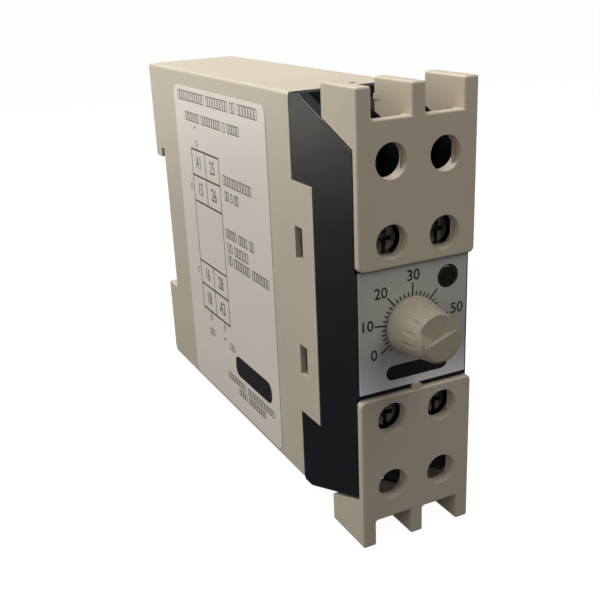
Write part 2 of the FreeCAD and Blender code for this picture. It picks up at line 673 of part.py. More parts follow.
def dial_plate():
    """Printed plate on the front, with holes for the shaft and the indicator lens."""
    body = new_body("dial_plate")
    face = sketch_on(body, "XZ_Plane", "seat_depth - boss_front + plate_lift", "plate_face")
    outline(face, [("-plate_left", "-plate_bottom"), ("plate_right", "-plate_bottom"),
                   ("plate_right", "plate_top"), ("-plate_left", "plate_top")])
    ring_hole(face, "dial_x", "dial_z", "bushing_radius + bushing_play")
    ring_hole(face, "lens_x", "lens_z", "lens_radius + fit")
    pad(body, face, "boss_front - plate_front - plate_lift", "plate_pad")
    return keep(body, "dial_plate")


def side_label():
    """Thin label with rounded corners on the left face of the shell."""
    body = new_body("side_label")
    face = sketch_on(body, "YZ_Plane", "-width / 2 - label_thickness", "label_face")
    outline(face, [("label_front - seat_depth", "-label_bottom"),
                   ("label_rear - seat_depth", "-label_bottom"),
                   ("label_rear - seat_depth", "label_top"),
                   ("label_front - seat_depth", "label_top")])
    pad(body, face, "label_thickness", "label_pad")
    soften(body, "label_corner", lambda edge: runs_along(edge, 0), "label_corners")
    return keep(body, "side_label")


def control_knob():
    """Conical knob with grip flutes and a scooped step on its end as the pointer."""
    body = new_body("knob_cone")
    bore = "(shaft_radius + knob_grip)"
    profile = sketch_on(body, "YZ_Plane", "0", "knob_profile")
    outline(profile, [
        ("knob_back", bore), ("knob_back", "knob_base"),
        ("-knob_front + knob_rim", "knob_tip"), ("-knob_front", "knob_tip - tip_draft"),
        ("-knob_front", "0"), ("-knob_bore", "0"), ("-knob_bore", bore),
    ])
    turned = body.newObject("PartDesign::Revolution", "knob_turned")
    turned.Profile = profile
    turned.ReferenceAxis = (profile, ["H_Axis"])
    turned.Angle = 360
    front = -size("knob_front")
    soften(body, "knob_rim - board_gap", lambda edge: lies_on(edge, 1, front), "knob_rim")
    flutes = [grip_flute(number) for number in range(int(size("flute_count")))]
    knob = cut("control_knob", body, flutes + [pointer_scoop()])
    place_on_dial(knob)
    knob.Placement.Rotation = Rotation(Vector(0, -1, 0), size("knob_turn"))
    bind(knob, "Placement.Rotation.Angle", "knob_turn")
    return keep(knob, "control_knob")


def grip_flute(number):
    """One long shallow hollow in the knob's side, as an ellipsoid that dips into it."""
    flute = doc.addObject("Part::Ellipsoid", f"flute_{number}")
    bind(flute, "Radius1", "flute_half")
    bind(flute, "Radius2", "flute_radius")
    bind(flute, "Radius3", "flute_radius")
    turn = 360 * number / size("flute_count") + size("flute_start")
    lean = math.degrees(math.atan2(size("knob_base") - size("knob_tip"), size("knob_front")))
    around = Rotation(Vector(0, -1, 0), turn)
    along_side = Rotation(Vector(0, 0, 1), -lean) * Rotation(Vector(1, 0, 0), 90)
    flute.Placement.Rotation = around * along_side
    angle = f"({360 * number} / flute_count + flute_start)"
    side = "(knob_tip + (knob_front - flute_middle) * (knob_base - knob_tip) / knob_front)"
    reach = f"({side} + flute_radius - flute_depth)"
    bind(flute, "Placement.Base.x", f"{reach} * cos({angle})")
    bind(flute, "Placement.Base.y", "-flute_middle")
    bind(flute, "Placement.Base.z", f"{reach} * sin({angle})")
    return flute


def pointer_scoop():
    """Hollow with one straight edge, cut into the upper part of the knob's end."""
    bowl = doc.addObject("Part::Cylinder", "scoop_bowl")
    lean = math.degrees(math.atan2(size("scoop_depth"), size("scoop_reach")))
    bowl.Placement.Rotation = Rotation(Vector(1, 0, 0), -lean)
    bind(bowl, "Radius", "scoop_radius")
    bind(bowl, "Height", "3 * knob_tip")
    bind(bowl, "Placement.Base.y", "-knob_front - scoop_radius + scoop_depth")
    bind(bowl, "Placement.Base.z", "scoop_edge")
    upper_side = doc.addObject("Part::Box", "scoop_side")
    bind(upper_side, "Length", "4 * knob_tip")
    bind(upper_side, "Width", "knob_front")
    bind(upper_side, "Height", "2 * knob_tip")
    bind(upper_side, "Placement.Base.x", "-2 * knob_tip")
    bind(upper_side, "Placement.Base.y", "-2 * knob_front + scoop_depth + fit")
    bind(upper_side, "Placement.Base.z", "scoop_edge")
    scoop = doc.addObject("Part::MultiCommon", "pointer_scoop")
    scoop.Shapes = [bowl, upper_side]
    return scoop


def place_on_dial(item):
    """Move an item made at the frame's origin to the front plane, on the dial's axis."""
    bind(item, "Placement.Base.x", "dial_x")
    bind(item, "Placement.Base.y", "-seat_depth")
    bind(item, "Placement.Base.z", "dial_z")


WAFER_PINS = (-2.5, 0, 2.5)


def potentiometer():
    """Shaft with a flat, case with its threaded bushing, and the wafer with three pins."""
    shaft = rod("shaft_bar", "y", "dial_x", "shaft_front", "dial_z", "shaft_radius",
                "shaft_length")
    flat = slab("shaft_flat", "dial_x - shaft_radius - over", "dial_x + shaft_radius + over",
                "shaft_front - fit", "flat_end", "dial_z + shaft_radius - flat_depth",
                "dial_z + shaft_radius + over")
    keep(cut("pot_shaft", shaft, [flat]), "pot_shaft")
    case = slab("case_block", "dial_x - case_half", "dial_x + case_half", "case_front",
                "case_rear", "dial_z - case_tall", "dial_z + case_tall")
    bushing = rod("bushing", "y", "dial_x", "bushing_front", "dial_z", "bushing_radius",
                  "case_front - bushing_front + fit")
    bore = rod("bore", "y", "dial_x", "0", "dial_z", "shaft_radius + shaft_fit", "bore_length")
    soft_case = rounded("soft_case", case, lambda edge: size("case_corner") * runs_along(edge, 1))
    keep(cut("pot_case", union("case_with_bushing", [soft_case, bushing]), [bore]), "pot_case")
    wafer = slab("wafer", "dial_x - wafer_half", "dial_x + wafer_half",
                 "case_rear + board_gap", "wafer_rear", "dial_z - wafer_low",
                 "dial_z + wafer_top")
    pins = [rod("wafer_pin", "y", f"dial_x + {offset}", "wafer_rear - fit",
                "dial_z - wafer_pin_low", "wafer_pin_radius", "wafer_pin_length")
            for offset in WAFER_PINS]
    keep(union("pot_wafer", [wafer] + pins), "pot_wafer")


LED_LEGS = (-1.27, 1.27)


def indicator():
    """Lens in the dial plate with the light-emitting diode behind it."""
    lens = rod("lens_rod", "y", "lens_x", "plate_front - fit", "lens_z", "lens_radius",
               "lens_length")
    front = size("plate_front") - size("fit") - size("seat_depth")
    keep(rounded("indicator_lens", lens, lambda edge: size("lens_round") * lies_on(edge, 1, front)),
         "indicator_lens")
    dome = rod("led_dome", "y", "lens_x", "led_front", "lens_z", "led_radius", "led_length")
    dome_front = size("led_front") - size("seat_depth")
    rounded_dome = rounded("led_dome_soft", dome,
                           lambda edge: size("led_round") * lies_on(edge, 1, dome_front))
    rim = rod("led_rim", "y", "lens_x", "led_rim_front", "lens_z", "led_rim_radius",
              "led_rim_length")
    legs = [slab("leg", f"lens_x + {offset} - led_leg / 2", f"lens_x + {offset} + led_leg / 2",
                 "led_rim_front + led_rim_length - board_gap", "led_leg_end",
                 "lens_z - led_leg / 2", "lens_z + led_leg / 2") for offset in LED_LEGS]
    keep(union("indicator_led", [rounded_dome, rim] + legs), "indicator_led")


# ---- boards ----------------------------------------------------------------------

HEADER_X = (-5.08, -2.54, 2.54, 5.08)
LINK_LEVELS = (-30.0, -26.0, -19.0, -15.0, 4.0, 0.0, 19.0, 30.0)


def board_holes(board_front, places, radius):
    """Round holes through a board that faces forwards, at (x, level) places."""
    return [rod("hole", "y", x, f"{board_front} - over", level, radius, "board + 2 * over")
            for x, level in places]


def control_board():
    """Front board, which carries the wafer of the potentiometer and the indicator."""
    board = slab("control_sheet", "-control_half", "control_half", "control_board",
                 "control_board + board", "-control_tall", "control_tall")
    holes = board_holes("control_board", [(f"lens_x + {offset}", "lens_z")
                                          for offset in LED_LEGS], "led_hole")
    holes += board_holes("control_board", [(f"dial_x + {offset}", "dial_z - wafer_pin_low")
                                           for offset in WAFER_PINS], "wafer_hole")
    holes += board_holes("control_board", [(x, "header_level") for x in HEADER_X], "pin_hole")
    keep(cut("control_board", board, holes), "control_board")


def terminal_board():
    """Cross board, which collects the tails of all the terminal bars."""
    board = slab("terminal_sheet", "-terminal_board_half", "terminal_board_half",
                 "terminal_board", "terminal_board + board", "-terminal_board_tall",
                 "terminal_board_tall")
    tools = board_holes("terminal_board", [(x, "header_level") for x in HEADER_X], "pin_hole")
    tools += board_holes("terminal_board", [("0", level) for level in LINK_LEVELS], "pin_hole")
    for row, level, side in TERMINALS:
        tools.append(tail_slot(row, level, side, "terminal_board - over",
                               "terminal_board + board + over", "fit"))
    keep(cut("terminal_board", board, tools), "terminal_board")


def board_pins():
    """Straight pins between the front boards and angled pins to the main board."""
    straight = [slab("header_pin", f"{x} - pin / 2", f"{x} + pin / 2", "header_start",
                     "header_end", "header_level - pin / 2", "header_level + pin / 2")
                for x in HEADER_X]
    strips = [slab("header_strip", f"{x} - strip_half", f"{x} + strip_half", "strip_front",
                   "strip_rear", "header_level - strip_half", "header_level + strip_half")
              for x in HEADER_X]
    solids = [union("strip_with_pin", [pin, strip]) for pin, strip in zip(straight, strips)]
    keep(group("front_header", solids), "front_header")
    angled = []
    for level in LINK_LEVELS:
        z1, z2 = f"{level} - pin / 2", f"{level} + pin / 2"
        angled.append(slab("link_pin", "-pin / 2", "pin / 2", "link_start", "link_turn", z1, z2))
        angled.append(slab("link_bend", "main_board - link_reach", "0", "link_turn - pin",
                           "link_turn", z1, z2))
    strip = slab("link_strip", "-strip_half", "strip_half", "link_strip_front",
                 "link_strip_rear", "-link_strip_half", "link_strip_half")
    keep(union("main_header", [strip] + angled), "main_header")


def main_board():
    """Board along the left wall of the shell, with the relay and the timer circuit."""
    sheet_part = slab("main_sheet", "main_board", "main_board + board", "main_front",
                      "main_rear", "-main_half", "main_half")
    places = [("link_turn - pin / 2", level) for level in LINK_LEVELS] + relay_pin_places()
    tools = [rod("hole", "x", "main_board - over", depth, level, "pin_hole", "board + 2 * over")
             for depth, level in places]
    keep(cut("main_board", sheet_part, tools), "main_board")


# ---- relay -----------------------------------------------------------------------

RELAY_REAR = "(relay_front + relay_length)"
RELAY_MID = "(relay_low + relay_width / 2)"
BOARD_FACE = "(main_board + board)"
RELAY_FLOOR = f"({BOARD_FACE} + relay_base_top)"


def relay_pin_places():
    """Depth and level of the relay's eight pins."""
    depths = ["relay_front + relay_pin_first", "relay_front + relay_pin_second",
              "relay_front + relay_pin_third", f"{RELAY_REAR} - relay_pin_last"]
    levels = ("relay_low + relay_pin_side", "relay_low + relay_width - relay_pin_side")
    return [(depth, level) for depth in depths for level in levels]


def about_relay_middle(half):
    return f"{RELAY_MID} - {half}", f"{RELAY_MID} + {half}"


def relay():
    """Two-pole changeover relay on the main board."""
    upper = "relay_low + relay_width"
    base = slab("base_block", f"{BOARD_FACE} + relay_lift", RELAY_FLOOR, "relay_front",
                RELAY_REAR, "relay_low", upper)
    keep(rounded("relay_base", base, lambda edge: size("relay_corner") * runs_along(edge, 0)),
         "relay_base")
    pins = [rod("relay_pin", "x", "main_board - relay_pin_out", depth, level,
                "relay_pin_radius", "relay_pin_out + board + board_gap")
            for depth, level in relay_pin_places()]
    keep(group("relay_pins", pins), "relay_pins")
    outer = slab("cover_block", f"{RELAY_FLOOR} + board_gap", "relay_top", "relay_front",
                 RELAY_REAR, "relay_low", upper)
    open_side = sum(size(alias) for alias in
                    ("main_board", "board", "relay_base_top", "board_gap"))
    soft = rounded("cover_soft", outer,
                   lambda edge: size("relay_corner") * (not lies_on(edge, 0, open_side)))
    hollow = slab("cover_hollow", f"{RELAY_FLOOR} - over", "relay_top - relay_wall",
                  "relay_front + relay_wall", f"{RELAY_REAR} - relay_wall",
                  "relay_low + relay_wall", f"{upper} - relay_wall")
    keep(cut("relay_cover", soft, [hollow]), "relay_cover")
    relay_bobbin()
    relay_magnet()
    relay_contacts()


def relay_bobbin():
    """Bobbin with two rims, and the winding between them."""
    rear_rim = "bobbin_front + bobbin_length - bobbin_rim_thickness"
    rims = [rod("rim", "y", "coil_axis", depth, RELAY_MID, "bobbin_rim",
                "bobbin_rim_thickness") for depth in ("bobbin_front", rear_rim)]
    tube = rod("tube", "y", "coil_axis", "bobbin_front", RELAY_MID, "bobbin_tube",
               "bobbin_length")
    hole = rod("core_hole", "y", "coil_axis", "bobbin_front - over", RELAY_MID,
               "core_radius + core_play", "bobbin_length + 2 * over")
    keep(cut("relay_bobbin", union("bobbin_solid", rims + [tube]), [hole]), "relay_bobbin")
    start = "bobbin_front + bobbin_rim_thickness"
    winding = rod("winding", "y", "coil_axis", f"{start} + board_gap", RELAY_MID,
                  "winding_radius", "bobbin_length - 2 * (bobbin_rim_thickness + board_gap)")
    inside = rod("winding_hole", "y", "coil_axis", start, RELAY_MID,
                 "bobbin_tube + board_gap", "bobbin_length - 2 * bobbin_rim_thickness")
    keep(cut("relay_coil", winding, [inside]), "relay_coil")


def relay_magnet():
    """Yoke with its core and pole face, and the armature with its card."""
    pole = rod("pole", "y", "coil_axis", "pole_front", RELAY_MID, "pole_radius",
               "pole_thickness")
    core = rod("core", "y", "coil_axis", "pole_front", RELAY_MID, "core_radius", "core_length")
    levels = about_relay_middle("yoke_half")
    rear_leg = slab("rear_leg", "yoke_low", "yoke_top", "yoke_rear - yoke_thickness",
                    "yoke_rear", *levels)
    top_leg = slab("top_leg", "yoke_top - yoke_thickness", "yoke_top", "yoke_front",
                   "yoke_rear", *levels)
    keep(union("relay_yoke", [pole, core, rear_leg, top_leg]), "relay_yoke")
    plate = slab("armature_plate", "armature_low", "armature_top", "armature_front",
                 "armature_rear", *levels)
    soft_plate = rounded("armature_soft", plate,
                         lambda edge: size("armature_corner") * runs_along(edge, 1))
    pivot = rod("armature_pivot", "z", "pivot_x", "pivot_depth", f"{RELAY_MID} - pivot_half",
                "pivot_radius", "2 * pivot_half")
    keep(union("relay_armature", [soft_plate, pivot]), "relay_armature")
    stem = slab("card_stem", "card_low", "0", "card_front", "card_rear",
                *about_relay_middle("card_half"))
    lip = slab("card_lip", "card_low", "0", "card_front", "card_front + card_lip",
               *about_relay_middle("card_lip_half"))
    keep(union("relay_card", [stem, lip]), "relay_card")


# Fixed contacts: depth of the strip, depth of the stud's front, length of the stud.
FIXED_CONTACTS = ((40.6, 40.8, 0.95), (43.8, 43.25, 0.9))


def relay_contacts():
    """Leaf springs and fixed contacts of the two poles."""
    leaves = []
    fixed = []
    for side in (-1, 1):
        z1, z2 = mirrored(side, "contact_near", "contact_far")
        span = (f"{RELAY_MID} + {z1}", f"{RELAY_MID} + {z2}")
        centre = f"{RELAY_MID} + {side} * (contact_near + contact_far) / 2"
        leaf = slab("leaf", RELAY_FLOOR, "contact_top", "leaf_front",
                    "leaf_front + leaf_thickness", *span)
        button = rod("button", "y", "contact_x", "button_front", centre, "contact_radius",
                     "button_length")
        leaves.append(union("leaf_with_button", [leaf, button]))
        for strip_front, stud_front, stud_length in FIXED_CONTACTS:
            strip = slab("strip", RELAY_FLOOR, "contact_top", strip_front,
                         f"{strip_front} + strip_thickness", *span)
            stud = rod("stud", "y", "contact_x", stud_front, centre, "contact_radius",
                       stud_length)
            fixed.append(union("strip_with_stud", [strip, stud]))
    keep(group("relay_moving_springs", leaves), "relay_moving_springs")
    keep(group("relay_fixed_contacts", fixed), "relay_fixed_contacts")


# ---- parts on the main board -----------------------------------------------------

# Upright cans: name, depth and level of the middle, radius, height.
CANS = (
    ("filter_capacitor", 80.0, -6.0, 5.0, 12.5),
    ("timing_capacitor", 80.0, -22.0, 4.0, 11.0),
)
CAN_LEADS = (-1.2, 1.2)
# Lying parts: name, depths of the middles, level of the lower end, radius, length.
AXIAL_PARTS = (
    ("rectifier_diodes", (68.5, 72.5, 76.5, 80.5), -33.0, 1.35, 4.4),
    ("resistors", (36.0, 39.5, 43.0, 46.5, 50.0, 53.5), -30.0, 1.15, 6.4),
)
FILM_LEADS = ((73.0, 17.2), (87.0, 17.2))
VARISTOR_LEADS = (-2.5, 2.5)
CHIP_LEGS = 7


def board_leads(places, length):
    """Upright leads that stand on the board at (depth, level) places."""
    return [rod("lead", "x", f"{BOARD_FACE} + board_gap", depth, level, "lead_radius", length)
            for depth, level in places]


def board_parts():
    """Capacitors, varistor, chip, diodes and resistors on the main board."""
    film = slab("film_block", f"{BOARD_FACE} + film_lift", "film_top", "film_front",
                "film_rear", "film_low", "film_high")
    soft = rounded("film_soft", film, lambda edge: size("film_corner"))
    keep(union("dropper_capacitor", [soft] + board_leads(FILM_LEADS, "lead_length")),
         "dropper_capacitor")
    for node, depth, level, radius, height in CANS:
        can = rod("can", "x", f"{BOARD_FACE} + can_lift", depth, level, radius, height)
        ring = rounded("can_soft", can,
                       lambda edge: size("can_corner") * (not runs_along(edge, 0)))
        places = [(depth + offset, level) for offset in CAN_LEADS]
        keep(union(node, [ring] + board_leads(places, "lead_length")), node)
    timer_chip()
    disc = rod("varistor_disc", "y", f"{BOARD_FACE} + disc_height", "disc_front", "disc_level",
               "disc_radius", "disc_thickness")
    soft_disc = rounded("varistor_soft", disc,
                        lambda edge: size("disc_corner") * (not runs_along(edge, 1)))
    places = [("disc_front + disc_thickness / 2", f"disc_level + {offset}")
              for offset in VARISTOR_LEADS]
    keep(union("varistor", [soft_disc] + board_leads(places, "disc_leg_length")), "varistor")
    axial_parts()


def timer_chip():
    """Chip with two rows of legs."""
    body = slab("chip_body", f"{BOARD_FACE} + chip_lift", f"{BOARD_FACE} + chip_height",
                "chip_front", "chip_rear", "chip_low", "chip_high")
    rows = (("chip_low - chip_leg_out", "chip_low + fit"),
            ("chip_high - fit", "chip_high + chip_leg_out"))
    legs = []
    for number in range(CHIP_LEGS):
        middle = f"chip_leg_start + {number} * chip_pitch"
        for z1, z2 in rows:
            legs.append(slab("chip_leg", f"{BOARD_FACE} + board_gap",
                             f"{BOARD_FACE} + chip_leg_height",
                             f"{middle} - chip_leg_width / 2",
                             f"{middle} + chip_leg_width / 2", z1, z2))
    keep(union("timer_chip", [body] + legs), "timer_chip")


def axial_parts():
    """Diodes and resistors lying on the board, each with its two bent leads."""
    x = f"{BOARD_FACE} + axial_height"
    for node, depths, level, radius, length in AXIAL_PARTS:
        drops = (f"{level} - axial_reach + axial_lead",
                 f"{level + length} + axial_reach - axial_lead")
        pieces = []
        for depth in depths:
            barrel = rod("barrel", "z", x, depth, level, radius, length)
            wire = rod("axial_lead", "z", x, depth, f"{level} - axial_reach", "axial_lead",
                       f"{length} + 2 * axial_reach")
            feet = [rod("axial_drop", "x", f"{BOARD_FACE} + board_gap", depth, drop,
                        "axial_lead", "axial_height + axial_lead - board_gap")
                    for drop in drops]
            pieces.append(union("axial_part", [barrel, wire] + feet))
        keep(group(node, pieces), node)


# ---- rail clip -------------------------------------------------------------------

def rail_clip():
    """Sliding foot whose hook holds the lower edge of the rail."""
    body = new_body("clip_plate")
    side = sketch_on(body, "YZ_Plane", "-(channel_half - clip_gap)", "clip_profile")
    front = "channel_depth + clip_gap - seat_depth"
    rear = "clip_rear - seat_depth"
    outline(side, [(front, "-clip_bottom"), (rear, "-clip_bottom"),
                   (rear, "-hook_top - hook_nose"), (f"{rear} - hook_nose", "-hook_top"),
                   ("hook_front - seat_depth", "-hook_top"),
                   ("hook_front - seat_depth", "-rail_half - fit"),
                   (front, "-rail_half - fit")])
    pad(body, side, "2 * (channel_half - clip_gap)", "clip_pad")
    ribs = slab("clip_ribs", "-groove_half + clip_gap", "groove_half - clip_gap",
                "groove_front + clip_gap", "groove_rear - clip_gap", "-rib_bottom", "-rib_top")
    window = slab("clip_window", "-peg_half - peg_room", "peg_half + peg_room",
                  "channel_depth", "total_depth", "-peg_bottom - gap", "-clip_window_top")
    slot = slab("driver_slot", "-pry_half", "pry_half", "channel_depth", "total_depth",
                "-clip_bottom + pry_low", "-clip_bottom + pry_high")
    keep(cut("rail_clip", union("clip_solid", [body, ribs]), [window, slot]), "rail_clip")


def clip_spring():
    """Coil spring between the shell's peg and the clip."""
    depth = "channel_depth + spring_depth - seat_depth"
    start = "-peg_top + spring_lift"
    helix = doc.addObject("Part::Helix", "spring_path")
    helix.LocalCoord = 0
    bind(helix, "Pitch", "spring_pitch")
    bind(helix, "Height", "spring_height")
    bind(helix, "Radius", "spring_radius")
    wire = doc.addObject("Part::Circle", "spring_wire")
    wire.Placement = FreeCAD.Placement(Vector(), Rotation(Vector(1, 0, 0), 90))
    bind(wire, "Radius", "spring_wire")
    bind(wire, "Placement.Base.x", "spring_radius")
    for item in (helix, wire):
        bind(item, "Placement.Base.y", depth)
        bind(item, "Placement.Base.z", start)
    spring = doc.addObject("Part::Sweep", "clip_spring")
    spring.Sections = [wire]
    spring.Spine = (helix, [])
    spring.Solid = True
    spring.Frenet = True
    keep(spring, "clip_spring")


def check_document():
    """Stop if anything in the document failed, or a sub-part has no valid solid."""
    doc.recompute()
    for item in doc.Objects:
        bad = [state for state in item.State if state in ("Invalid", "Error")]
        if bad:
            raise RuntimeError(f"{item.Label} ({item.TypeId}) is {bad}")
    for item in parts:
        if item.Shape.isNull() or not item.Shape.isValid() or not item.Shape.Solids:
            raise RuntimeError(f"{item.Label} has no valid shape")


def write_parts():
    os.makedirs("parts", exist_ok=True)
    for item in parts:
        item.Shape.exportStep(f"parts/{item.Label}.step")
        print(f"{item.Label:24s} solids {len(item.Shape.Solids)}  volume {item.Shape.Volume:9.2f}")


housing_shell()
terminal_block()
terminal_cover("upper_terminal_cover", 1)
terminal_cover("lower_terminal_cover", -1)
terminals()
dial_plate()
side_label()
control_knob()
potentiometer()
indicator()
control_board()
terminal_board()
board_pins()
main_board()
relay()
board_parts()
rail_clip()
clip_spring()
check_document()
write_parts()
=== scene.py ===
import json
import math

import bmesh
import bpy
from mathutils import Matrix, Vector


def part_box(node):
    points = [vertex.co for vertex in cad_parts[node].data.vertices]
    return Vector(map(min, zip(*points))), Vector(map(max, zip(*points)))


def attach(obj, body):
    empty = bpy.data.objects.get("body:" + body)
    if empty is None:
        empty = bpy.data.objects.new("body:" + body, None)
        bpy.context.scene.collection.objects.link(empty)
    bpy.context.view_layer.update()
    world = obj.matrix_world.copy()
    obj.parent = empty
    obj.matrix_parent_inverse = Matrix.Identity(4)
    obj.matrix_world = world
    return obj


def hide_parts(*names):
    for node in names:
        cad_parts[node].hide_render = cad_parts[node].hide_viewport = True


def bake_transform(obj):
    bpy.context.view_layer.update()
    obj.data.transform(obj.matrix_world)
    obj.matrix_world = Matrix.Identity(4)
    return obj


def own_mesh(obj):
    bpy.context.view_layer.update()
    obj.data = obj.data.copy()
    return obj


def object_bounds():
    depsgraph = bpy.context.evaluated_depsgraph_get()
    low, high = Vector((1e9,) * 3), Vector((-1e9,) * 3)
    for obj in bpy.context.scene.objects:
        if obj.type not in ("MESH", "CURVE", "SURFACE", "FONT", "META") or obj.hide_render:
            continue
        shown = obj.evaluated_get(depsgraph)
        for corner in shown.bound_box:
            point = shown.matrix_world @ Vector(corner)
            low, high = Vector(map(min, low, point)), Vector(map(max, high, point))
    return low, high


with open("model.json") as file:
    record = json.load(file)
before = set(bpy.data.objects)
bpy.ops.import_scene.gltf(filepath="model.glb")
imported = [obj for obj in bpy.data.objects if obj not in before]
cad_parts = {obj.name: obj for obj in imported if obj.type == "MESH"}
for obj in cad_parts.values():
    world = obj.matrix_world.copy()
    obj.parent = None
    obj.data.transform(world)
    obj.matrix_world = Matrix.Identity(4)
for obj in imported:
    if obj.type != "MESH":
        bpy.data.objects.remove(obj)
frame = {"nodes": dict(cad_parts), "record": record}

CAD_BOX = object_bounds()
NODES = frame["nodes"]
MM = 0.001
PRINT = 0.012 * MM          # thickness of printed ink
PRINT_GAP = 0.002 * MM      # between the ink and the face under it


def srgb(red, green, blue):
    """Linear colour from the usual 0 to 255 values."""
    def channel(value):
        value /= 255
        return value / 12.92 if value <= 0.04045 else ((value + 0.055) / 1.055) ** 2.4
    return (channel(red), channel(green), channel(blue), 1.0)


# ---- camera, floor and light -----------------------------------------------------

IMAGE_WIDTH, IMAGE_HEIGHT = 600, 590
SENSOR = 36.0


def make_camera():
    """Camera at the reference viewing angle, to the left of the front and above it."""
    azimuth, elevation, roll = (math.radians(a) for a in (24.861, -21.110, -2.850))
    look = Vector((math.sin(azimuth) * math.cos(elevation),
                   math.cos(azimuth) * math.cos(elevation), math.sin(elevation)))
    right = look.cross(Vector((0, 0, 1))).normalized()
    up = right.cross(look)
    right_rolled = math.cos(roll) * right + math.sin(roll) * up
    up_rolled = math.cos(roll) * up - math.sin(roll) * right
    data = bpy.data.cameras.new("camera")
    data.sensor_fit = "HORIZONTAL"
    data.sensor_width = SENSOR
    data.lens = SENSOR * 1.50683
    data.shift_x = 0.0212
    data.shift_y = 0.0456
    data.clip_start = 0.01
    data.clip_end = 100
    camera = bpy.data.objects.new("camera", data)
    turned = Matrix((right_rolled, up_rolled, -look)).transposed()
    place = Vector((-79.75, -214.62, 56.98)) * MM
    camera.matrix_world = Matrix.Translation(place) @ turned.to_4x4()
    bpy.context.scene.collection.objects.link(camera)
    bpy.context.scene.camera = camera


def new_material(name):
    material = bpy.data.materials.new(name)
    material.use_nodes = True
    material.node_tree.nodes.clear()
    return material, material.node_tree.nodes, material.node_tree.links


def make_floor():
    """Wide pale floor. It catches shadows but throws no light back on the object."""
    low = CAD_BOX[0].z
    mesh = bpy.data.meshes.new("floor")
    reach = 30.0
    corners = [(-reach, -reach, low), (reach, -reach, low), (reach, reach, low), (-reach, reach, low)]
    mesh.from_pydata(corners, [], [(0, 1, 2, 3)])
    floor = bpy.data.objects.new("floor", mesh)
    bpy.context.scene.collection.objects.link(floor)
    material, nodes, links = new_material("pale_floor")
    output = nodes.new("ShaderNodeOutputMaterial")
    add = nodes.new("ShaderNodeAddShader")
    matte = nodes.new("ShaderNodeBsdfDiffuse")
    matte.inputs["Color"].default_value = (0.14, 0.14, 0.14, 1)
    glow = nodes.new("ShaderNodeEmission")
    glow.inputs["Color"].default_value = (1, 1, 1, 1)
    glow.inputs["Strength"].default_value = 0.96
    links.new(matte.outputs[0], add.inputs[0])
    links.new(glow.outputs[0], add.inputs[1])
    links.new(add.outputs[0], output.inputs["Surface"])
    mesh.materials.append(material)
    floor.visible_diffuse = False
    floor.visible_glossy = False


def make_world():
    """Even studio surround: brighter above than below, and pale where it is seen."""
    world = bpy.data.worlds.new("studio")
    bpy.context.scene.world = world
    world.use_nodes = True
    nodes, links = world.node_tree.nodes, world.node_tree.links
    nodes.clear()
    output = nodes.new("ShaderNodeOutputWorld")
    seen = nodes.new("ShaderNodeBackground")
    seen.inputs["Color"].default_value = (1, 1, 1, 1)
    lit = nodes.new("ShaderNodeBackground")
    place = nodes.new("ShaderNodeTexCoord")
    split = nodes.new("ShaderNodeSeparateXYZ")
    ramp = nodes.new("ShaderNodeValToRGB")
    ramp.color_ramp.elements[0].position = 0.36
    ramp.color_ramp.elements[0].color = (0.06, 0.062, 0.066, 1)
    ramp.color_ramp.elements[1].position = 0.66
    ramp.color_ramp.elements[1].color = (0.19, 0.19, 0.19, 1)
    rise = nodes.new("ShaderNodeMapRange")
    rise.inputs["From Min"].default_value = -1
    path = nodes.new("ShaderNodeLightPath")
    choose = nodes.new("ShaderNodeMixShader")
    links.new(place.outputs["Generated"], split.inputs[0])
    links.new(split.outputs["Z"], rise.inputs["Value"])
    links.new(rise.outputs[0], ramp.inputs[0])
    links.new(ramp.outputs[0], lit.inputs["Color"])
    links.new(path.outputs["Is Camera Ray"], choose.inputs[0])
    links.new(lit.outputs[0], choose.inputs[1])
    links.new(seen.outputs[0], choose.inputs[2])
    links.new(choose.outputs[0], output.inputs["Surface"])


def area_light(name, place, target, width, height, power, colour=(1, 1, 1)):
    data = bpy.data.lights.new(name, "AREA")
    data.shape = "ELLIPSE"
    data.size = width
    data.size_y = height
    data.energy = power
    data.color = colour
    light = bpy.data.objects.new(name, data)
    light.location = Vector(place)
    light.rotation_euler = (Vector(target) - Vector(place)).to_track_quat("-Z", "Y").to_euler()
    bpy.context.scene.collection.objects.link(light)


def make_lights():
    """Two keys above and behind the front, a fill above the front right, a weak light at
    the left, and a low strip at the rear left that grazes the dark block."""
    centre = (CAD_BOX[0] + CAD_BOX[1]) / 2
    area_light("key", (-0.17, 0.05, 0.27), centre, 0.30, 0.30, 0.53, (1.0, 0.99, 0.96))
    area_light("top", (-0.04, 0.10, 0.30), centre, 0.25, 0.25, 0.63, (1.0, 0.99, 0.96))
    area_light("fill", (0.13, -0.24, 0.28), centre, 0.22, 0.22, 0.34, (1.0, 0.97, 0.92))
    area_light("side", (-0.45, -0.20, 0.20), centre, 0.35, 0.35, 0.46, (1.0, 0.98, 0.95))
    area_light("strip", (-0.20, 0.26, 0.0), centre, 0.22, 0.07, 0.115, (1.0, 0.95, 0.84))


# ---- materials -------------------------------------------------------------------

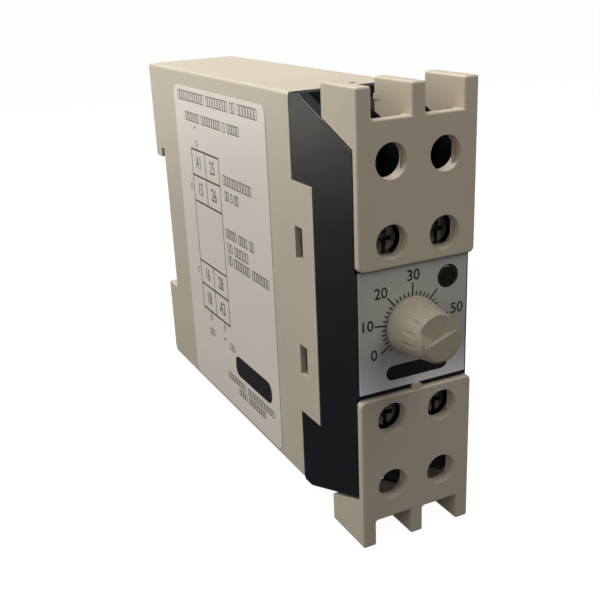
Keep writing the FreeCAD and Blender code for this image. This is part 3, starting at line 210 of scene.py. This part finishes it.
def moulded(name, colour, roughness=0.5, grain=0.25, mottle=0.05, recess_shade=0.35, metallic=0.0,
            coat=0.0, grain_scale=3200, stretch=(1, 1, 1), specular=0.5, painted_low_reflection=None):
    """Surface with fine grain, slight colour and gloss variation, and painted shade darkening its
    recesses.

    The last argument, when given, is a painted reflection: a lighter second colour that the surface
    takes on towards its lower edge."""
    material, nodes, links = new_material(name)
    output = nodes.new("ShaderNodeOutputMaterial")
    shader = nodes.new("ShaderNodeBsdfPrincipled")
    shader.inputs["Metallic"].default_value = metallic
    shader.inputs["Coat Weight"].default_value = coat
    shader.inputs["Specular IOR Level"].default_value = specular
    place = nodes.new("ShaderNodeTexCoord")
    mapping = nodes.new("ShaderNodeMapping")
    mapping.inputs["Scale"].default_value = stretch
    links.new(place.outputs["Object"], mapping.inputs["Vector"])

    broad = nodes.new("ShaderNodeTexNoise")
    broad.inputs["Scale"].default_value = 70
    broad.inputs["Detail"].default_value = 5
    fine = nodes.new("ShaderNodeTexNoise")
    fine.inputs["Scale"].default_value = grain_scale
    fine.inputs["Detail"].default_value = 3
    links.new(mapping.outputs[0], broad.inputs["Vector"])
    links.new(mapping.outputs[0], fine.inputs["Vector"])

    tint = nodes.new("ShaderNodeMix")
    tint.data_type = "RGBA"
    dark = [c * (1 - mottle) for c in colour[:3]] + [1]
    light = [min(1, c * (1 + mottle)) for c in colour[:3]] + [1]
    tint.inputs["A"].default_value = dark
    tint.inputs["B"].default_value = light
    links.new(broad.outputs["Fac"], tint.inputs["Factor"])

    surface_colour = tint.outputs["Result"]
    # Painted reflection: the colour turns to the given lighter one towards the lower edge.
    if painted_low_reflection:
        height = nodes.new("ShaderNodeSeparateXYZ")
        fade = nodes.new("ShaderNodeMapRange")
        fade.inputs["From Min"].default_value = 0.02
        fade.inputs["From Max"].default_value = 0.28
        fade.inputs["To Min"].default_value = 1
        fade.inputs["To Max"].default_value = 0
        painted_reflection_mix = nodes.new("ShaderNodeMix")
        painted_reflection_mix.data_type = "RGBA"
        painted_reflection_mix.inputs["B"].default_value = painted_low_reflection
        links.new(place.outputs["Generated"], height.inputs[0])
        links.new(height.outputs["Z"], fade.inputs["Value"])
        links.new(fade.outputs[0], painted_reflection_mix.inputs["Factor"])
        links.new(surface_colour, painted_reflection_mix.inputs["A"])
        surface_colour = painted_reflection_mix.outputs["Result"]

    # Painted shade: in recesses, ambient occlusion mixes the colour towards a copy of it at 0.35
    # times its brightness, as far as the given amount allows.
    recess = nodes.new("ShaderNodeAmbientOcclusion")
    recess.inputs["Distance"].default_value = 1.6 * MM
    recess.samples = 6
    shade = nodes.new("ShaderNodeMapRange")
    shade.inputs["From Min"].default_value = 0.15
    shade.inputs["From Max"].default_value = 0.75
    shade.inputs["To Min"].default_value = recess_shade
    shade.inputs["To Max"].default_value = 0
    recess_shade_mix = nodes.new("ShaderNodeMix")
    recess_shade_mix.data_type = "RGBA"
    recess_shade_mix.inputs["B"].default_value = [c * 0.35 for c in colour[:3]] + [1]
    links.new(recess.outputs["AO"], shade.inputs["Value"])
    links.new(shade.outputs[0], recess_shade_mix.inputs["Factor"])
    links.new(surface_colour, recess_shade_mix.inputs["A"])
    links.new(recess_shade_mix.outputs["Result"], shader.inputs["Base Color"])

    gloss = nodes.new("ShaderNodeMapRange")
    gloss.inputs["To Min"].default_value = roughness - 0.07
    gloss.inputs["To Max"].default_value = roughness + 0.07
    links.new(broad.outputs["Fac"], gloss.inputs["Value"])
    links.new(gloss.outputs[0], shader.inputs["Roughness"])

    bump = nodes.new("ShaderNodeBump")
    bump.inputs["Strength"].default_value = grain
    bump.inputs["Distance"].default_value = 0.02 * MM
    links.new(fine.outputs["Fac"], bump.inputs["Height"])
    links.new(bump.outputs[0], shader.inputs["Normal"])
    links.new(shader.outputs[0], output.inputs["Surface"])
    return material


def make_materials():
    return {
        # housing: stronger painted shade in its recesses
        "housing": moulded("housing_plastic", srgb(214, 204, 184), 0.42, 0.20, recess_shade=0.55),
        "cover": moulded("cover_plastic", srgb(212, 200, 179), 0.45, 0.22),
        "block": moulded("block_plastic", srgb(14, 19, 26), 0.40, 0.90, 0.30, grain_scale=1100,
                         specular=0.35),
        # dial sheet: painted reflection, lighter towards its lower edge
        "dial_plate": moulded("dial_sheet", srgb(197, 195, 189), 0.34, 0.10, 0.03, 0.15,
                              painted_low_reflection=srgb(247, 248, 250)),
        "label": moulded("label_sheet", srgb(245, 237, 227), 0.36, 0.08, 0.02, 0.10),
        # knob: strong painted shade in its recesses, darkest at the step of its pointer
        "knob": moulded("knob_plastic", srgb(187, 177, 156), 0.48, 0.25, recess_shade=0.85),
        "shaft": moulded("shaft_nylon", srgb(205, 200, 186), 0.5),
        "pot_case": moulded("pot_plastic", srgb(36, 60, 105), 0.4),
        "phenolic": moulded("phenolic_board", srgb(150, 108, 62), 0.55, mottle=0.2),
        "lens": moulded("lens_plastic", srgb(20, 22, 27), 0.22, 0.05, 0.05, 0.3, coat=0.4),
        "led": moulded("led_epoxy", srgb(150, 34, 28), 0.15, coat=0.5),
        "board": moulded("solder_mask", srgb(26, 88, 52), 0.3, mottle=0.25, coat=0.3),
        "pins": moulded("tinned_pins", srgb(205, 205, 200), 0.3, metallic=1.0),
        "relay_base": moulded("relay_base_plastic", srgb(36, 36, 38), 0.5),
        "relay_cover": moulded("relay_cover_plastic", srgb(36, 66, 128), 0.28, coat=0.3),
        "bobbin": moulded("bobbin_plastic", srgb(222, 218, 206), 0.5),
        "coil": moulded("copper_winding", srgb(170, 92, 50), 0.32, 0.8, 0.15, metallic=1.0,
                        grain_scale=900, stretch=(1, 9, 1)),
        "iron": moulded("plated_iron", srgb(168, 168, 166), 0.35, metallic=1.0),
        "spring_alloy": moulded("spring_alloy", srgb(205, 165, 104), 0.3, metallic=1.0),
        "film": moulded("dipped_coating", srgb(150, 56, 34), 0.25, coat=0.4),
        "can": moulded("can_sleeve", srgb(32, 34, 46), 0.3, coat=0.2),
        "chip": moulded("black_epoxy", srgb(28, 28, 30), 0.55),
        "varistor": moulded("blue_coating", srgb(32, 72, 140), 0.3, coat=0.3),
        "resistor": moulded("tan_lacquer", srgb(190, 158, 112), 0.4),
        "clip": moulded("clip_plastic", srgb(40, 41, 44), 0.42, 0.3, 0.10),
        "steel": moulded("spring_steel", srgb(176, 178, 180), 0.3, metallic=1.0),
        "brass": moulded("plain_brass", srgb(206, 172, 108), 0.32, metallic=1.0),
        "screw_steel": moulded("screw_steel", srgb(140, 139, 130), 0.26, 0.5, 0.25, 0.45,
                               metallic=1.0, grain_scale=1800),
        "zinc": moulded("zinc_plate", srgb(150, 152, 150), 0.4, 0.4, 0.15, metallic=1.0),
        "ink": moulded("black_ink", srgb(26, 26, 28), 0.5, 0.05, 0.05, 0.0),
        "grey_ink": moulded("grey_ink", srgb(70, 72, 76), 0.5, 0.05, 0.05, 0.0),
    }


def paint_nodes(materials):
    """Give each CAD node the finish of its material slot."""
    for row in frame["record"]["subparts"]:
        node = NODES[row["node"]]
        node.data.materials.clear()
        node.data.materials.append(materials[row["material_slot"]])


def stand_in(node, name):
    """A copy of a CAD node's mesh, shown in its place."""
    piece = bpy.data.objects.new(name, NODES[node].data.copy())
    bpy.context.scene.collection.objects.link(piece)
    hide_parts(node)
    return piece


def coil_spring():
    """The clip's spring, a copy of its CAD mesh attached to the housing. On the real clip it shortens
    as the clip is pulled down onto it.
    """
    coil = stand_in("clip_spring", "coil_spring")
    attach(coil, "housing")
    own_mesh(coil)


def leaf_springs():
    """The relay's leaf springs, which sit in its base and which the card draws over: a copy of their
    CAD mesh, cut across at twelve even steps from their low end to the card, with flat faces.
    """
    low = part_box("relay_moving_springs")[0]
    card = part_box("relay_card")[0]
    leaves = stand_in("relay_moving_springs", "leaf_springs")
    mesh = bmesh.new()
    mesh.from_mesh(leaves.data)
    bmesh.ops.remove_doubles(mesh, verts=mesh.verts, dist=1e-7)
    cuts = 12
    for k in range(1, cuts + 1):
        across = low.x + (card.x - low.x) * k / cuts
        bmesh.ops.bisect_plane(mesh, geom=mesh.verts[:] + mesh.edges[:] + mesh.faces[:],
                               plane_co=(across, 0, 0), plane_no=(1, 0, 0), dist=1e-8)
    for face in mesh.faces:
        face.smooth = False
    mesh.to_mesh(leaves.data)
    mesh.free()
    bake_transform(leaves)


# ---- printing --------------------------------------------------------------------

def plane_matrix(origin, right, up):
    """Matrix of a printed face: right and up lie in the face, and its third axis points out."""
    right, up = Vector(right), Vector(up)
    turned = Matrix((right, up, right.cross(up))).transposed()
    return Matrix.Translation(Vector(origin)) @ turned.to_4x4()


class Ink:
    """Collects thin closed shapes in face coordinates, in millimetres, into one mesh."""

    def __init__(self, name, matrix, material, body, slot):
        self.name = name
        self.matrix = matrix
        self.material = material
        self.body = body
        self.slot = slot
        self.mesh = bmesh.new()

    def prism(self, outline):
        """Thin plate with the given counter-clockwise outline."""
        count = len(outline)
        lower = [self.mesh.verts.new((u * MM, v * MM, 0)) for u, v in outline]
        upper = [self.mesh.verts.new((u * MM, v * MM, PRINT)) for u, v in outline]
        self.mesh.faces.new(upper)
        self.mesh.faces.new(lower[::-1])
        for k in range(count):
            after = (k + 1) % count
            self.mesh.faces.new((lower[k], lower[after], upper[after], upper[k]))

    def bar(self, start, end, width):
        """Straight line of the given width."""
        a, b = Vector(start), Vector(end)
        along = (b - a).normalized()
        side = Vector((-along.y, along.x)) * width / 2
        self.prism([a - side, b - side, b + side, a + side])

    def arc(self, centre, radius, first, last, width, steps=24):
        """Part of a ring, as one plate, between two angles in degrees."""
        outer, inner = [], []
        for k in range(steps + 1):
            angle = math.radians(first + (last - first) * k / steps)
            direction = Vector((math.cos(angle), math.sin(angle)))
            outer.append(Vector(centre) + direction * (radius + width / 2))
            inner.append(Vector(centre) + direction * (radius - width / 2))
        self.prism(outer + inner[::-1])

    def pill(self, left, bottom, right, top, radius, steps=8):
        """Rectangle with rounded corners."""
        outline = []
        corners = ((right - radius, bottom + radius, -90), (right - radius, top - radius, 0),
                   (left + radius, top - radius, 90), (left + radius, bottom + radius, 180))
        for u, v, start in corners:
            for k in range(steps + 1):
                angle = math.radians(start + 90 * k / steps)
                outline.append((u + radius * math.cos(angle), v + radius * math.sin(angle)))
        self.prism(outline)

    def number(self, text, centre, height, narrow=0.85, weight=0.0):
        """Plain sans-serif digits, centred on a point."""
        curve = bpy.data.curves.new("digits", "FONT")
        curve.body = text
        curve.align_x = "CENTER"
        curve.align_y = "CENTER"
        curve.size = height * 1.38 * MM
        curve.offset = weight * MM
        curve.extrude = PRINT / 2
        curve.resolution_u = 4
        carrier = bpy.data.objects.new("digits", curve)
        bpy.context.scene.collection.objects.link(carrier)
        bpy.context.view_layer.update()
        mesh = bpy.data.meshes.new_from_object(carrier.evaluated_get(
            bpy.context.evaluated_depsgraph_get()))
        shift = Matrix.Translation((centre[0] * MM, centre[1] * MM, PRINT / 2))
        mesh.transform(shift @ Matrix.Diagonal((narrow, 1, 1, 1)))
        self.mesh.from_mesh(mesh)
        bpy.data.objects.remove(carrier)
        bpy.data.meshes.remove(mesh)

    def words(self, left, middle, right, height, pattern):
        """A line of text shown only as hollow boxes; pattern holds the boxes of each word."""
        step = (right - left) / (sum(pattern) + 0.8 * (len(pattern) - 1))
        low, high = middle - height / 2, middle + height / 2
        at = left
        for count in pattern:
            for _ in range(count):
                end = at + 0.72 * step
                self.bar((at, low), (at, high), 0.22)
                self.bar((end, low), (end, high), 0.22)
                self.bar((at, low), (end, low), 0.2)
                self.bar((at, high), (end, high), 0.2)
                at += step
            at += 0.8 * step

    def finish(self):
        bmesh.ops.remove_doubles(self.mesh, verts=self.mesh.verts, dist=1e-7)
        bmesh.ops.recalc_face_normals(self.mesh, faces=self.mesh.faces)
        mesh = bpy.data.meshes.new(self.name)
        self.mesh.to_mesh(mesh)
        self.mesh.free()
        mesh.transform(self.matrix)
        mesh.materials.append(self.material)
        piece = bpy.data.objects.new(self.name, mesh)
        bpy.context.scene.collection.objects.link(piece)
        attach(piece, self.body)


def dial_print(materials):
    """Scale of the dial, 0 to 60 over 252 degrees, and a plain dark band.

    Places are in millimetres, from the knob's axis or from the middle of the face."""
    low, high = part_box("dial_plate")
    knob_low, knob_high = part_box("pot_shaft")
    centre = Vector(((knob_low.x + knob_high.x) / 2, (knob_low.z + knob_high.z) / 2)) / MM
    matrix = plane_matrix((0, low.y, 0), (1, 0, 0), (0, 0, 1))
    matrix = matrix @ Matrix.Translation((0, 0, PRINT_GAP))
    ink = Ink("dial_scale", matrix, materials["ink"], "housing", "dial_plate")

    def at(minutes, radius):
        angle = math.radians(214.4 - 4.2 * minutes)
        return centre + radius * Vector((math.cos(angle), math.sin(angle)))

    for minute in range(-2, 61, 2):
        major = minute % 10 == 0
        outer = 7.35 if major else 5.9
        ink.bar(at(minute, 5.1), at(minute, outer), 0.28 if major else 0.24)
    for text, place in (("0", (-7.44, -4.26)), ("10", (-8.76, 1.18)), ("20", (-6.01, 6.5)),
                        ("30", (0.28, 8.6)), ("50", (9.15, 1.12)), ("60", (7.5, -4.9))):
        ink.number(text, centre + Vector(place), 1.95, 0.98, 0.03)
    ink.pill(-5.95, -8.9, 6.45, -6.2, 1.3)
    ink.finish()


def label_sheet():
    """The label's sheet, set back so that the print on it stays in the object's box.

    Returns the place of its face across the object."""
    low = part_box("side_label")[0]
    setback = PRINT + 2 * PRINT_GAP
    sheet = stand_in("side_label", "label_sheet")
    for vertex in sheet.data.vertices:
        if vertex.co.x < low.x + 0.05 * MM:
            vertex.co.x += setback
    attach(sheet, "housing")
    return low.x + setback


def diagram(ink):
    """Connection diagram: two blocks of four cells joined by a frame, with wire ends."""
    left, middle, right = 8.8, 17.0, 25.1
    upper, lower = (21.1, 15.2, 9.2), (-5.1, -10.8, -16.9)
    line, wire, eyelet = 0.28, 0.2, 0.55
    for side in (left, right):
        ink.bar((side, lower[2]), (side, upper[0]), line)
    for top, bottom in ((upper[0], upper[2]), (lower[0], lower[2])):
        ink.bar((middle, bottom), (middle, top), line)
    for level in upper + lower:
        ink.bar((left - line / 2, level), (right + line / 2, level), line * 1.5)
    for first, second, level in (("A1", "25", 18.2), ("15", "26", 12.2),
                                 ("16", "28", -8.0), ("18", "A2", -13.9)):
        ink.number(first, ((left + middle) / 2, level), 3.0, 0.72, 0.02)
        ink.number(second, ((middle + right) / 2, level), 3.0, 0.72, 0.02)
    for place in ((13.3, -18.6), (21.6, -18.6), (12.6, 22.7), (7.2, 12.2), (7.2, -8.0)):
        ink.arc(place, eyelet, 0, 350, wire)
    for across, low, high in ((13.3, -18.0, -17.0), (21.6, -18.0, -17.0), (12.6, 21.1, 22.1)):
        ink.bar((across, high), (across, low), wire)
    ink.arc((21.2, -21.8), 0.6, 20, 170, 0.25)
    ink.arc((12.2, 25.6), 0.7, 20, 170, 0.25)


def label_print(materials):
    """Connection diagram, lines of text as rows of hollow boxes, and a plain dark band.

    Places on the label are in millimetres, across from its rear edge and up."""
    face = label_sheet()
    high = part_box("side_label")[1]
    matrix = plane_matrix((face, high.y, 0), (0, -1, 0), (0, 0, 1))
    matrix = matrix @ Matrix.Translation((0, 0, PRINT_GAP))
    ink = Ink("label_diagram", matrix, materials["grey_ink"], "housing", "label")
    diagram(ink)
    for left, middle, right, height, pattern in (
            (2.9, 32.6, 46.9, 2.0, (12, 9, 2, 7)), (6.8, 28.2, 37.6, 1.8, (7, 9, 1, 5)),
            (27.0, 17.0, 42.0, 1.9, (11,)), (27.6, 13.7, 35.0, 1.9, (2, 1, 2)),
            (26.6, 5.4, 41.6, 1.9, (5, 4, 2)), (27.0, 2.2, 38.3, 1.9, (2, 5)),
            (27.0, -0.6, 48.3, 1.9, (2, 7, 7)), (11.8, -22.2, 15.0, 1.4, (2,)),
            (24.2, -22.0, 27.2, 1.4, (2,)), (22.0, -29.8, 47.2, 1.4, (8, 11)),
            (28.0, -31.9, 42.6, 1.4, (4, 8))):
        ink.words(left, middle, right, height, pattern)
    ink.finish()
    band = Ink("label_band", matrix, materials["ink"], "housing", "label")
    band.pill(27.0, -27.8, 46.3, -22.9, 2.0)
    band.finish()


make_camera()
make_floor()
make_world()
make_lights()
bpy.context.scene.view_settings.view_transform = "Standard"
MATERIALS = make_materials()
paint_nodes(MATERIALS)
coil_spring()
leaf_springs()
dial_print(MATERIALS)
label_print(MATERIALS)
